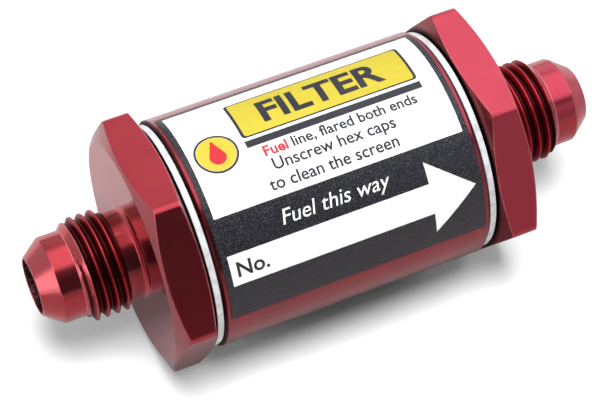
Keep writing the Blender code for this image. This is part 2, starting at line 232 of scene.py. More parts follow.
def bend(start, corner, end, steps):
    """Points on the curve that rounds a corner."""
    return [start * (1 - t) ** 2 + corner * 2 * t * (1 - t) + end * t * t
            for t in np.arange(steps + 1) / steps]


def corner_rows(before, corner, after, cut):
    """Rows that round one corner of the outline, cut back by the same length on both sides."""
    def toward(other):
        gap = other - corner
        length = np.maximum(np.linalg.norm(gap, axis=1, keepdims=True), MERGE)
        return corner + gap / length * np.minimum(cut, 0.45 * length)

    return bend(toward(before), corner, toward(after), CORNER_STEPS)


def thread_form(flat, slope, rounding):
    """Shares of a turn and heights of a thread: crest flat, straight flank, root flat."""
    edges = [flat, flat + slope]
    offsets = [0.0]
    for edge in edges:
        offsets += [edge - rounding, edge - 0.3 * rounding, edge + 0.3 * rounding, edge + rounding]
    offsets += [flat + 0.5 * slope, 0.5]
    offsets = sorted({round(o, 6) for o in offsets if 0.0 <= o <= 0.5})
    shares = np.array([-o for o in offsets[-2:0:-1]] + offsets)
    rise = (flat + slope - np.abs(shares)) / slope
    heights = ease(rise, rounding / slope) - ease(rise - 1.0, rounding / slope)
    return shares, heights


def thread_rows(columns, low, high, root, crest, phase, form, low_r, high_r, fade, cone_end=False):
    """Grid of a right-hand thread between circles at x = low and x = high, and its rows per turn.

    The thread fades out towards both circles, or a 45 degree cone cuts it at the high end.
    """
    shares, heights = form
    first = math.floor((low - phase) / PITCH) - 2
    turns = math.ceil((high - low) / PITCH) + 5
    steps = (np.arange(turns)[:, None] + first + shares[None, :]).ravel()
    tall = np.tile(heights, turns)
    x = phase + (steps[:, None] + columns[None, :] / TURN) * PITCH
    x = np.clip(x, low, high)
    r = np.broadcast_to(root + tall[:, None] * (crest - root), x.shape)
    r = low_r + (r - low_r) * smooth_step((x - low) / fade)
    if cone_end:
        r = np.minimum(r, high_r + (high - x))
    else:
        r = high_r + (r - high_r) * smooth_step((high - x) / fade)
    return np.stack([x, r], axis=2), len(shares)


def grid_blocks(outline, columns, closed):
    """Blocks of rows with their seam shift, from outline points (x, r, cut) and thread grids."""
    ends = []
    for item in outline:
        if isinstance(item[0], np.ndarray):
            ends.append((item[0][0], item[0][-1]))
        else:
            row = spread(item[0], item[1], columns)
            ends.append((row, row))
    blocks = []
    count = len(outline)
    for i, item in enumerate(outline):
        if isinstance(item[0], np.ndarray):
            blocks.append(item)
            continue
        at_end = not closed and i in (0, count - 1)
        cut = item[2] if len(item) > 2 else 0.0
        if cut == 0.0 or at_end:
            rows = [ends[i][0]]
        else:
            rows = corner_rows(ends[i - 1][1], ends[i][0], ends[(i + 1) % count][0], cut)
        blocks.append((np.array(rows), 0))
    return blocks


def lathe(name, columns, outline, closed=True):
    """Object turned about X from an outline that runs once round its section."""
    blocks = grid_blocks(outline, columns, closed)
    points, quads, edges = [], [], []
    total = 0
    for grid, shift in blocks:
        rows, cols = grid.shape[:2]
        ids = total + np.arange(rows * cols).reshape(rows, cols)
        total += rows * cols
        x, r = grid[..., 0], grid[..., 1]
        points.append(np.stack([x, r * np.cos(columns), r * np.sin(columns)], 2).reshape(-1, 3))
        over = ids[np.clip(np.arange(rows) + shift, 0, rows - 1), 0]
        beside = np.concatenate([ids[:, 1:], over[:, None]], axis=1)
        quads.append(np.stack([ids[:-1], beside[:-1], beside[1:], ids[1:]], 2).reshape(-1, 4))
        edges.append((ids[0], ids[-1]))
    for i in range(len(edges) if closed else len(edges) - 1):
        near, far = edges[i][1], edges[(i + 1) % len(edges)][0]
        quads.append(np.stack([near, np.roll(near, -1), np.roll(far, -1), far], 1))
    mesh = bpy.data.meshes.new(name)
    mesh.from_pydata(np.concatenate(points).tolist(), [], np.concatenate(quads).tolist())
    return finish_mesh(name, mesh)


def finish_mesh(name, mesh):
    """Merge and shade a mesh, turn its faces outwards, and put it in the scene as an object."""
    bm = bmesh.new()
    bm.from_mesh(mesh)
    bmesh.ops.remove_doubles(bm, verts=bm.verts, dist=MERGE)
    bmesh.ops.recalc_face_normals(bm, faces=bm.faces)
    bm.to_mesh(mesh)
    bm.free()
    obj = add_object(name, mesh)
    shade(obj)
    return obj


def shade(obj):
    """Smooth shading between edges that stay sharp."""
    obj.data.shade_smooth()
    obj.data.set_sharp_from_angle(angle=SHARP)
    keep_flats(obj)


def keep_flats(obj):
    """Normals that keep large faces flat beside small rounded edges."""
    weights = obj.modifiers.new("flat_faces", "WEIGHTED_NORMAL")
    weights.keep_sharp = True


def place(obj, body, slot, mats, *nodes):
    """Give a piece its materials and its body, and hide the CAD nodes that it stands for; slot is not
    used.
    """
    for mat in mats:
        obj.data.materials.append(mat)
    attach(obj, body)
    if nodes:
        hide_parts(*nodes)


# ---------------------------------------------------------------- node materials

class Nodes:
    """A node tree under construction; most calls add a node and return the socket to go on from."""

    def __init__(self, tree):
        self.tree = tree

    def node(self, kind, *values, **settings):
        """New node with its settings, and its inputs fed in their order."""
        made = self.tree.nodes.new(kind)
        for key, value in settings.items():
            setattr(made, key, value)
        for socket, value in zip(made.inputs, values):
            self.feed(socket, value)
        return made

    def feed(self, socket, value):
        if isinstance(value, bpy.types.NodeSocket):
            self.tree.links.new(value, socket)
        elif isinstance(value, tuple) and len(value) == 3 and socket.type == "RGBA":
            socket.default_value = (*value, 1.0)
        else:
            socket.default_value = value

    def feed_all(self, made, **values):
        for name, value in values.items():
            self.feed(made.inputs[name], value)

    def math(self, operation, *values):
        return self.node("ShaderNodeMath", *values, operation=operation).outputs[0]

    def vector(self, operation, *values):
        made = self.node("ShaderNodeVectorMath", *values, operation=operation)
        return made.outputs["Value" if operation in ("LENGTH", "DOT_PRODUCT") else "Vector"]

    def scaled(self, colour, level):
        made = self.node("ShaderNodeVectorMath", colour, operation="SCALE")
        self.feed(made.inputs["Scale"], level)
        return made.outputs["Vector"]

    def split(self, value):
        return self.node("ShaderNodeSeparateXYZ", value).outputs

    def join(self, x, y, z):
        return self.node("ShaderNodeCombineXYZ", x, y, z).outputs[0]

    def noise(self, place, scale, detail=2.0, roughness=0.5):
        made = self.node("ShaderNodeTexNoise")
        self.feed_all(made, Vector=place, Scale=scale, Detail=detail, Roughness=roughness)
        return made.outputs["Fac"]

    def span(self, value, low, high, to_low=0.0, to_high=1.0):
        """Maps low..high of a value to to_low..to_high, clamped."""
        return self.node("ShaderNodeMapRange", value, low, high, to_low, to_high).outputs["Result"]

    def mix(self, share, first, second):
        made = self.node("ShaderNodeMix", data_type="RGBA")
        self.feed(made.inputs["Factor"], share)
        colours = [s for s in made.inputs if s.type == "RGBA"]
        self.feed(colours[0], first)
        self.feed(colours[1], second)
        return next(s for s in made.outputs if s.type == "RGBA")


class Finish(Nodes):
    """A Principled material under construction."""

    def __init__(self, name, **values):
        self.material = bpy.data.materials.new(name)
        self.material.use_nodes = True
        super().__init__(self.material.node_tree)
        self.shader = self.tree.nodes["Principled BSDF"]
        self.coords = self.node("ShaderNodeTexCoord").outputs["Object"]
        for socket, value in values.items():
            self.set(socket.replace("_", " "), value)

    def set(self, socket, value):
        self.feed(self.shader.inputs[socket], value)

    def bump(self, height, distance, strength=1.0, under=None):
        made = self.node("ShaderNodeBump")
        self.feed_all(made, Height=height, Distance=distance, Strength=strength)
        if under is not None:
            self.feed(made.inputs["Normal"], under)
        return made.outputs["Normal"]

    def edges(self):
        """1 along sharp corners and 0 on open faces, broken up as real wear is; this marks wear and a
        painted edge highlight.
        """
        rounded = self.node("ShaderNodeBevel", samples=6)
        self.feed(rounded.inputs["Radius"], EDGE_WEAR_HIGHLIGHT)
        true_normal = self.node("ShaderNodeNewGeometry").outputs["Normal"]
        turn = self.vector("DOT_PRODUCT", rounded.outputs["Normal"], true_normal)
        wear = self.span(self.noise(self.coords, 500.0, 3.0), 0.3, 0.6, 0.35, 1.0)
        return self.math("MULTIPLY", self.span(turn, 0.998, 0.985), wear)

    def radius(self):
        _, y, z = self.split(self.coords)
        return self.vector("LENGTH", self.join(0.0, y, z))

    def turning(self, lines_per_mm, drift=6.0):
        """Noise drawn out round the axis, as a lathe tool leaves it."""
        x, y, z = self.split(self.coords)
        along = self.math("MULTIPLY_ADD", self.radius(), 0.73, x)
        across = self.math("MULTIPLY", along, lines_per_mm / MM)
        place = self.join(across, self.math("MULTIPLY", y, drift), self.math("MULTIPLY", z, drift))
        return self.noise(place, 1.0, 3.0, 0.6)

    def drawing(self, lines_per_mm, drift=80.0):
        """Noise drawn out along the axis, as on drawn bar stock."""
        x, y, z = self.split(self.coords)
        place = self.join(self.math("MULTIPLY", x, drift),
                          self.math("MULTIPLY", y, lines_per_mm / MM),
                          self.math("MULTIPLY", z, lines_per_mm / MM))
        return self.noise(place, 1.0, 3.0, 0.6)


def mottled(mat, grain, share, colours, rough, relief, strength):
    """Two colours mixed by a share, with the grain in the roughness and the relief."""
    mat.set("Base Color", mat.mix(share, *colours))
    mat.set("Roughness", mat.span(grain, 0.3, 0.7, *rough))
    mat.set("Normal", mat.bump(grain, relief, strength))
    return mat.material


RED_FACE = (0.66, 0.030, 0.055)
RED_SHADE = (0.50, 0.012, 0.028)
RED_EDGE = (0.86, 0.58, 0.61)
# Paler red of the edges: wear and painted highlight.
RED_WORN_HIGHLIGHT = (0.90, 0.33, 0.32)
# Paler reds of the nose cone: painted highlight.
RED_PALED_HIGHLIGHT = ((0.69, 0.060, 0.085), (0.58, 0.030, 0.050))
# Darker reds of the barrel, the necks and the outer hex chamfers: painted shade.
RED_SHADED_COPY = ((0.50, 0.020, 0.042), (0.24, 0.008, 0.016))
# Reach of the edge wear and painted highlight.
EDGE_WEAR_HIGHLIGHT = 0.13 * MM
HAZE = 0.08
OXIDE_IOR = 1.55
TURNED_RELIEF = 0.0015 * MM
DRAWN_RELIEF = 0.0002 * MM


def anodised(name, pattern, coarse, fine, rough, relief, streaks, colours, worn_and_lit=True, haze=None):
    """Dyed and sealed aluminium: tinted metal under a clear oxide, with edge wear and a painted edge
    highlight.

    pattern is Finish.turning or Finish.drawing; coarse and fine are its lines per mm.
    """
    mat = Finish(name, Coat_Weight=1.0, Coat_IOR=OXIDE_IOR, Coat_Roughness=0.10)
    mat.set("Specular Tint", RED_EDGE)
    mat.set("Sheen Weight", haze(mat) if haze else HAZE)
    cloud = mat.noise(mat.coords, 200.0, 4.0)
    lines, fine_lines = pattern(mat, coarse), pattern(mat, fine)
    share = mat.math("ADD", mat.span(cloud, 0.35, 0.7, 0.0, 0.35),
                     mat.span(lines, 0.4, 0.62, 0.0, streaks))
    # Edges get a paler, less metallic red that the key light brightens: wear and painted highlight.
    edge = mat.edges() if worn_and_lit else 0.0
    mat.set("Base Color", mat.mix(edge, mat.mix(share, *colours), RED_WORN_HIGHLIGHT))
    mat.set("Metallic", mat.span(edge, 0.0, 1.0, 1.0, 0.35))
    mat.set("Roughness", mat.span(fine_lines, 0.3, 0.7, *rough))
    mat.set("Normal", mat.bump(lines, relief, 0.5, mat.bump(fine_lines, relief, 0.6)))
    return mat.material


def nose_haze(mat):
    """Haze on the nose alone: the open face of the hex mirrors cleanly."""
    out = mat.math("ABSOLUTE", mat.split(mat.coords)[0])
    return mat.span(out, HEX_OUTER_X + 0.1 * MM, HEX_OUTER_X + 0.5 * MM, 0.0, HAZE)


def turned_red():
    return anodised("red_anodised_turned", Finish.turning, 1.6, 7.0, (0.12, 0.20), TURNED_RELIEF, 0.30,
                    (RED_FACE, RED_SHADE), haze=nose_haze)


def drawn_red():
    return anodised("red_anodised_flat", Finish.drawing, 1.8, 8.0, (0.21, 0.26), DRAWN_RELIEF, 0.10,
                    (RED_FACE, RED_SHADE))


def highlight_paled_red():
    """Cone of the nose, in a paler red as painted highlight."""
    return anodised("red_anodised_cone", Finish.turning, 2.4, 9.0, (0.16, 0.24), TURNED_RELIEF, 0.30,
                    RED_PALED_HIGHLIGHT)


def shaded_red():
    """Turned surface of the barrel and the necks, in a darker copy of the red as painted shade."""
    return anodised("red_anodised_shaded", Finish.turning, 1.6, 7.0, (0.12, 0.22), TURNED_RELIEF, 0.45,
                    RED_SHADED_COPY, worn_and_lit=False)


def seat_red():
    """Rough chamfer beside a washer, in a darker red as painted shade, painted black in the gap as
    painted shade.
    """
    mat = Finish("red_anodised_seat", Metallic=1.0, Coat_IOR=OXIDE_IOR, Coat_Roughness=0.25)
    # clean rises from 0 beside the washer to 1 further out; it places the painted shade of the gap.
    clean = mat.span(mat.radius(), WASHER_HIGH.z + 0.05 * MM, WASHER_HIGH.z + 0.75 * MM)
    lines = mat.turning(3.0)
    share = mat.math("MULTIPLY", clean, mat.span(lines, 0.3, 0.7, 0.7, 1.0))
    # Near-black is painted shade in the gap; the darker red is a shaded copy of the red.
    mat.set("Base Color", mat.mix(share, (0.010, 0.003, 0.004), (0.34, 0.018, 0.034)))
    mat.set("Coat Weight", mat.span(share, 0.0, 1.0, 0.0, 0.6))
    mat.set("Roughness", mat.span(share, 0.0, 1.0, 0.6, 0.32))
    mat.set("Normal", mat.bump(lines, 0.003 * MM, 0.5))
    return mat.material


def threaded_red():
    """Cut thread: dull valleys painted dark as painted shade, between crests mottled by wear."""
    mat = Finish("red_anodised_thread", Metallic=1.0, Coat_IOR=OXIDE_IOR, Coat_Roughness=0.2)
    mat.set("Specular Tint", RED_EDGE)
    # depth rises from 0 in the valleys to 1 at the crests; it places painted shade in the valleys.
    depth = mat.span(mat.radius(), THREAD_ROOT_R + 0.25 * MM, THREAD_CREST_R - 0.02 * MM)
    speck = mat.noise(mat.coords, 700.0, 3.0, 0.6)
    worn_and_lit = mat.math("MULTIPLY", depth, mat.span(speck, 0.25, 0.6, 0.75, 1.0))
    # Near-black in the valleys is painted shade.
    mat.set("Base Color", mat.mix(worn_and_lit, (0.085, 0.006, 0.009), (0.60, 0.030, 0.050)))
    mat.set("Coat Weight", mat.span(worn_and_lit, 0.0, 1.0, 0.15, 0.8))
    mat.set("Roughness", mat.span(worn_and_lit, 0.0, 1.0, 0.42, 0.22))
    mat.set("Normal", mat.bump(mat.noise(mat.coords, 2500.0, 2.0), 0.003 * MM, 0.5))
    return mat.material


def bore_red():
    """Drilled port: shaded, with rough tool marks that catch the light."""
    mat = Finish("red_anodised_bore", Metallic=0.8)
    chatter = mat.noise(mat.coords, 1500.0, 4.0, 0.7)
    colours = (0.030, 0.012, 0.015), (0.30, 0.085, 0.10)
    return mottled(mat, chatter, mat.span(chatter, 0.48, 0.66), colours, (0.6, 0.4), 0.03 * MM, 0.8)


def bare_aluminium():
    """Blotched dull metal, darkened by painted shade where the hex or the barrel closes in on it."""
    mat = Finish("bare_aluminium", Metallic=0.36)
    blotch = mat.noise(mat.coords, 800.0, 4.0, 0.7)
    lines = mat.turning(5.0)
    metal = mat.mix(mat.span(blotch, 0.35, 0.7), (0.85, 0.85, 0.87), (0.56, 0.55, 0.55))
    # Ambient occlusion darkens the metal to near-black: painted shade; clean is its unshaded share.
    open_air = mat.node("ShaderNodeAmbientOcclusion", samples=8)
    mat.feed(open_air.inputs["Distance"], 0.9 * MM)
    clean = mat.span(open_air.outputs["AO"], 0.40, 0.72)
    mat.set("Base Color", mat.mix(clean, (0.02, 0.012, 0.012), metal))
    mat.set("Roughness", mat.span(lines, 0.3, 0.7, 0.45, 0.62))
    mat.set("Normal", mat.bump(mat.math("ADD", blotch, lines), 0.01 * MM, 0.5))
    return mat.material


FILM_MEAN = 0.4


def printed_film():
    """Dark embossed film, whose specks fade out down the side: the paler specks are painted highlight
    on the grain.
    """
    mat = Finish("label_film", IOR=1.5)
    grain = mat.noise(mat.coords, 4600.0, 2.0, 0.6)
    clumps = mat.noise(mat.coords, 900.0, 2.0)
    height = mat.math("ADD", grain, mat.math("MULTIPLY", clumps, 0.6))
    up = mat.split(mat.coords)[2]
    speck = mat.math("SUBTRACT", mat.span(grain, 0.5, 0.68), FILM_MEAN)
    # Speck contrast grows towards the top: painted highlight.
    contrast = mat.span(up, 4.0 * MM, 10.5 * MM, 0.15, 1.0)
    share = mat.math("MULTIPLY_ADD", speck, contrast, FILM_MEAN)
    mat.set("Base Color", mat.mix(share, (0.010, 0.010, 0.013), (0.052, 0.052, 0.062)))
    mat.set("Roughness", mat.span(clumps, 0.3, 0.7, 0.20, 0.32))
    mat.set("Normal", mat.bump(height, 0.045 * MM, 1.0))
    return mat.material


def ink(name, *colours):
    mat = Finish(name, IOR=1.48)
    grain = mat.noise(mat.coords, 1500.0, 3.0)
    cloud = mat.noise(mat.coords, 160.0, 2.0)
    share = mat.span(mat.math("ADD", grain, cloud), 0.8, 1.3)
    return mottled(mat, grain, share, colours, (0.39, 0.53), 0.004 * MM, 0.4)


def plated_steel(name, lines_per_mm, *colours):
    mat = Finish(name, Metallic=1.0)
    share = mat.span(mat.noise(mat.coords, 250.0, 4.0, 0.6), 0.35, 0.7)
    return mottled(mat, mat.turning(lines_per_mm), share, colours, (0.24, 0.42), 0.006 * MM, 0.5)


def resin():
    mat = Finish("bond_resin", IOR=1.52)
    swirl = mat.noise(mat.coords, 300.0, 4.0, 0.6)
    colours = (0.26, 0.20, 0.11), (0.13, 0.09, 0.045)
    return mottled(mat, swirl, mat.span(swirl, 0.35, 0.65), colours, (0.25, 0.45), 0.05 * MM, 0.5)


def rubber():
    mat = Finish("nitrile_rubber", IOR=1.5)
    grain = mat.noise(mat.coords, 1800.0, 4.0, 0.65)
    colours = (0.012, 0.012, 0.013), (0.030, 0.030, 0.032)
    return mottled(mat, grain, mat.span(grain, 0.35, 0.7), colours, (0.55, 0.75), 0.015 * MM, 0.6)


def woven_wire(name, colour, shade, wires_per_mm):
    """Wire cloth, crossing along the axis and down the pleats."""
    mat = Finish(name, Metallic=0.9)
    x, y, z = mat.split(mat.coords)
    turns = mat.math("ARCTAN2", z, y)
    step = TURN * wires_per_mm / MM
    warp = mat.math("SINE", mat.math("MULTIPLY", x, step))
    weft = mat.math("SINE", mat.math("MULTIPLY", mat.radius(), step))
    weave = mat.math("MULTIPLY", warp, weft)
    cross = mat.math("MAXIMUM", mat.math("ABSOLUTE", warp), mat.math("ABSOLUTE", weft))
    cloud = mat.noise(mat.join(x, turns, 0.0), 30.0, 3.0)
    share = mat.math("MULTIPLY", mat.span(cross, 0.5, 1.0, 1.0, 0.0),
                     mat.span(cloud, 0.2, 0.8, 0.7, 1.0))
    mat.set("Base Color", mat.mix(share, colour, shade))
    mat.set("Roughness", mat.span(cloud, 0.3, 0.7, 0.35, 0.5))
    mat.set("Normal", mat.bump(mat.math("ADD", weave, cross), 0.03 * MM, 0.8))
    return mat.material


# ---------------------------------------------------------------- barrel, washers, caps

def joint_phase_inlet():
    """Start of the inlet joint thread, once its cap is turned about Z and clocked."""
    return -JOINT_START - PITCH / 2.0 - PITCH * INLET_CLOCKING / TURN


JOINT_FORM = thread_form(0.02, 0.46, 0.03)
NOSE_FORM = thread_form(0.0625, 0.35, 0.03)


def build_barrel(*finishes):
    """Open tube with a thread and a chamfered mouth at each end."""
    columns = even_columns(ROUND_COLUMNS)
    root, crest = JOINT_CREST_R + JOINT_CLEARANCE, BARREL_BORE_R
    inside_out = [
        (JOINT_BOTTOM, JOINT_MOUTH, JOINT_START, crest, root),
        (-JOINT_MOUTH, -JOINT_BOTTOM, joint_phase_inlet(), root, crest),
    ]
    threads = []
    for low, high, phase, low_r, high_r in inside_out:
        rows, shift = thread_rows(columns, low, high, crest, root, phase, JOINT_FORM,
                                  low_r, high_r, JOINT_FADE)
        threads.append((rows[::-1], -shift))
    mouth = [
        (BARREL_HALF - BARREL_EDGE, BARREL_R),
        (BARREL_HALF, BARREL_R - BARREL_EDGE),
        (BARREL_HALF, BARREL_MOUTH_R),
    ]
    outside = [(-x, r, 0.1 * MM) for x, r in mouth[::-1]] + [(x, r, 0.1 * MM) for x, r in mouth]
    barrel = lathe("barrel_tube", columns, outside + threads)
    # Most of the barrel takes the darker red as painted shade; faces at its two ends take the seat red
    # with its painted shade.
    for face in barrel.data.polygons:
        face.material_index = int(abs(face.center.x) > BARREL_HALF - BARREL_EDGE)
    barrel.visible_diffuse = False
    place(barrel, "barrel", "barrel_red", finishes, "body_tube")


def build_washer(name, side, body, node, mat):
    """Flat crushed ring with eased edges and a shallow crown on its rim."""
    low, high, outer = WASHER_LOW.x, WASHER_HIGH.x, WASHER_HIGH.z
    crown = 0.03 * MM
    outline = [
        (side * low, WASHER_INNER_R, 0.1 * MM),
        (side * low, outer - crown, 0.14 * MM),
        (side * (low + high) / 2.0, outer, 0.1 * MM),
        (side * high, outer - crown, 0.14 * MM),
        (side * high, WASHER_INNER_R, 0.1 * MM),
    ]
    washer = lathe(name, even_columns(ROUND_COLUMNS), outline)
    place(washer, body, "washer_bare", [mat], node)


def hex_columns():
    """Angles about X, close together where the eased corners begin."""
    near = [28.8, 29.3, 29.6, 29.8, 29.9]
    offsets = [-o for o in near[::-1]] + list(range(-28, 29, 2)) + near + [30.0]
    middles = [90.0 + 60.0 * side for side in range(6)]
    return np.radians([m + o for m in middles for o in offsets])


def hex_radius(columns):
    """Distance from the axis to the hexagon; its corners are turned down to a round."""
    sixth = math.pi / 3.0
    off = (columns - math.pi / 2.0 + sixth / 2.0) % sixth - sixth / 2.0
    flat = FLAT_R / np.cos(off)
    return HEX_CORNER_R - ease(HEX_CORNER_R - flat, 0.02 * MM)


def inner_chamfer(columns):
    return HEX_INNER_X + (hex_radius(columns) - SEAT_FACE_R) * math.tan(SEAT_CHAMFER)


def outer_chamfer(columns):
    return HEX_OUTER_X - (hex_radius(columns) - HEX_FACE_R) * math.tan(HEX_CHAMFER)


def cap_outline(columns):
    """Outline of the outlet cap, from the port's mouth over the outside to the port again."""
    nose, nose_shift = thread_rows(columns, THREAD_START, THREAD_END, THREAD_ROOT_R,
                                   THREAD_CREST_R, THREAD_START + NOSE_PHASE, NOSE_FORM,
                                   NECK_R, LAND_R, THREAD_RUNOUT, cone_end=True)
    joint, joint_shift = thread_rows(columns, JOINT_START, JOINT_END, JOINT_ROOT_R,
                                     JOINT_CREST_R, JOINT_START, JOINT_FORM,
                                     SPIGOT_NECK_R, SPIGOT_NECK_R, JOINT_FADE)
    return [
        (TIP_X, TIP_R, 0.12 * MM),
        (SHOULDER_X, LAND_R, 0.22 * MM),
        (nose[::-1], -nose_shift),
        (HEX_OUTER_X + NECK_FILLET, NECK_R, 0.08 * MM),
        (HEX_OUTER_X, NECK_R + NECK_FILLET, 0.08 * MM),
        (HEX_OUTER_X, HEX_FACE_R, 0.08 * MM),
        (outer_chamfer, hex_radius, 0.16 * MM),
        (inner_chamfer, hex_radius, 0.12 * MM),
        (HEX_INNER_X, SEAT_FACE_R, 0.08 * MM),
        (HEX_INNER_X, SPIGOT_NECK_R, 0.2 * MM),
        (joint[::-1], -joint_shift),
        (SPIGOT_END, SPIGOT_END_R, 0.12 * MM),
        (SPIGOT_END, SPIGOT_POCKET_R, 0.15 * MM),
        (POCKET_FLOOR, SPIGOT_POCKET_R, 0.3 * MM),
        (POCKET_FLOOR, RECESS_R, 0.08 * MM),
        (RECESS_FLOOR, RECESS_R, 0.2 * MM),
        (RECESS_FLOOR, PORT_R, 0.1 * MM),
        (TIP_X, PORT_R, 0.1 * MM),
    ]


# Cap finishes: one is a darker red as painted shade on the necks and outer chamfers, the seat one is
# painted black in its gap as painted shade, and the cone one is a paler red as painted highlight.
TURNED, FLATS, THREAD, SEAT, SHADED, PORT, CONE = range(7)


def cap_finish(face):
    """Which of the cap's seven finishes a face gets, from its place and direction."""
    x, lean = face.center.x, face.normal.x
    out = math.hypot(face.center.y, face.center.z)
    if out < PORT_R:
        return PORT
    if x > SHOULDER_X:
        return CONE
    # Outer chamfer of the hex: the darker red, painted shade.
    if out > HEX_FACE_R and 0.85 < lean < 0.98:
        return SHADED
    if out > LAND_R + THREAD_END - x - 0.03 * MM and lean > 0.6:
        return TURNED
    if abs(lean) < 0.1 and out > FLAT_R - 0.01 * MM:
        return FLATS
    if out > THREAD_ROOT_R - 0.05 * MM and THREAD_START < x < THREAD_END:
        return THREAD
    if lean < -0.8 and out > SEAT_FACE_R:
        return SEAT
    # Neck between the hex and the thread: the darker red, painted shade.
    if HEX_OUTER_X + NECK_FILLET < x < THREAD_START + THREAD_RUNOUT:
        return SHADED
    return TURNED


def build_caps(*finishes):
    """Two caps of one shape; the inlet one faces the other way and stops at its own clocking."""
    columns = hex_columns()
    outlet = lathe("outlet_end_cap", columns, cap_outline(columns))
    for face in outlet.data.polygons:
        face.material_index = cap_finish(face)
    mesh = outlet.data.copy()
    mesh.transform(Matrix.Rotation(INLET_CLOCKING, 4, "X") @ Matrix.Rotation(math.pi, 4, "Z"))
    inlet = add_object("inlet_end_cap", mesh)
    keep_flats(inlet)
    place(outlet, "outlet_end", "cap_red", finishes, "outlet_cap")
    place(inlet, "inlet_end", "cap_red", finishes, "inlet_cap")
    outlet.visible_diffuse = inlet.visible_diffuse = False


# ---------------------------------------------------------------- cartridge and spring

def cartridge_piece(name, outline, slot, mat, node, closed=True):
    piece = lathe(name, even_columns(FINE_COLUMNS), outline, closed)
    place(piece, "cartridge", slot, [mat], node)


def pressed_rim(face, back, inside):
    """Outline of a pressed end's rim, from its outer face round the skirt to its inner face."""
    return [
        (face, END_CAP_R, 0.45 * MM),
        (back, END_CAP_R, 0.1 * MM),
        (back, END_CAP_R - END_CAP_SKIN, 0.1 * MM),
        (inside, END_CAP_R - END_CAP_SKIN, 0.2 * MM),
    ]


def build_closed_end(mat):
    """Pressed end of the cartridge with a boss that centres the spring."""
    face = CLOSED_LOW.x + SPRING_BOSS_HIGH
    inside = face + END_CAP_THICK
    boss = [
        (CLOSED_LOW.x, 0.0),
        (CLOSED_LOW.x, SPRING_BOSS_R - END_CAP_SKIN, 0.25 * MM),
        (face, SPRING_BOSS_R, 0.3 * MM),
    ]
    outline = boss + pressed_rim(face, CLOSED_HIGH.x, inside) + [(inside, 0.0)]
    cartridge_piece("cartridge_closed_end", outline, "plated_steel", mat, "element_closed_end", False)


def build_open_end(mat):
    """Pressed ring at the outlet end of the cartridge."""
    face, inside, bore = OPEN_HIGH.x, OPEN_HIGH.x - END_CAP_THICK, CORE_R - CORE_WALL
    rim = pressed_rim(face, OPEN_LOW.x, inside)
    outline = [(face, bore, 0.25 * MM), *rim, (inside, bore, 0.15 * MM)]
    cartridge_piece("cartridge_open_end", outline, "plated_steel", mat, "element_open_end")


def ring_outline(node, inner, outer, edge):
    """Rectangular section with eased edges, as long as a CAD node."""
    low, high = (corner.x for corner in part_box(node))
    return [(low, inner, edge), (low, outer, edge), (high, outer, edge), (high, inner, edge)]


def core_drills():
    """Cutter for the core's holes: rods that cross the whole tube, half as many as holes."""
    drills = bmesh.new()
    middle = (CORE_LOW.x + CORE_HIGH.x) / 2.0
    for i in range(CORE_HOLE_ROWS):
        x = middle + (i - (CORE_HOLE_ROWS - 1) / 2.0) * CORE_HOLE_PITCH
        for k in range(CORE_HOLES_PER_ROW // 2):
            across = Matrix.Rotation(TURN * (k + 0.5) / CORE_HOLES_PER_ROW, 4, "X")
            bmesh.ops.create_cone(
                drills, cap_ends=True, segments=24, radius1=CORE_HOLE_R, radius2=CORE_HOLE_R,
                depth=3.0 * CORE_R, matrix=Matrix.Translation((x, 0.0, 0.0)) @ across,
            )
    return add_object("core_drills", mesh_from(drills, "core_drills"))


def build_core(mat):
    """Perforated tube: round holes drilled through a fine tube."""
    outline = ring_outline("element_core", CORE_R - CORE_WALL, CORE_R, 0.06 * MM)
    core = lathe("cartridge_core", even_columns(FINE_COLUMNS), outline)
    cutter = core_drills()
    core.modifiers.clear()
    cut = core.modifiers.new("perforations", "BOOLEAN")
    cut.operation = "DIFFERENCE"
    cut.use_self = True
    cut.object = cutter
    drilled = evaluated_mesh(core)
    core.modifiers.clear()
    core.data = drilled
    shade(core)
    bpy.data.objects.remove(cutter)
    place(core, "cartridge", "plated_steel", [mat], "element_core")


def build_bond(name, node, mat):
    """Cured adhesive with a rounded fillet at its rim."""
    outline = ring_outline(node, CORE_R + FIT_GAP, END_CAP_R - END_CAP_SKIN - FIT_GAP, 0.15 * MM)
    cartridge_piece(name, outline, "bond_resin", mat, node)


def build_gasket(mat):
    outline = ring_outline("element_gasket", GASKET_INNER_R, GASKET_OUTER_R, 0.15 * MM)
    cartridge_piece("cartridge_gasket", outline, "seal_rubber", mat, "element_gasket")


def rounded_fold(before, fold, after):
    """Points round one fold of the sheet."""
    start, end = (fold + (other - fold) / np.linalg.norm(other - fold) * FOLD_ROUNDING
                  for other in (before, after))
    return bend(start, fold, end, FOLD_STEPS)


def pleat_path():
    """Angles and radii of the folded sheet, once round the axis."""
    folds = []
    for fold in range(2 * PLEATS):
        angle = math.pi * fold / PLEATS
        radius = PLEAT_OUTER_R if fold % 2 else PLEAT_INNER_R
        folds.append(radius * np.array([math.cos(angle), math.sin(angle)]))
    path = []
    for i, fold in enumerate(folds):
        path += rounded_fold(folds[i - 1], fold, folds[(i + 1) % len(folds)])
    path = np.array(path)
    angles = np.arctan2(path[:, 1], path[:, 0]) % TURN
    order = np.argsort(angles)
    return angles[order], np.linalg.norm(path, axis=1)[order]


def build_sheet(name, depth, node, slot, mat):
    """Pleated wire cloth as one closed sleeve; depth sets it inwards."""
    angles, radii = pleat_path()
    low, high = (corner.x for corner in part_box(node))
    outer, inner = radii - depth, radii - depth - SHEET_DEPTH
    outline = [(low, lambda _: outer), (high, lambda _: outer),
               (high, lambda _: inner), (low, lambda _: inner)]
    place(lathe(name, angles, outline), "cartridge", slot, [mat], node)


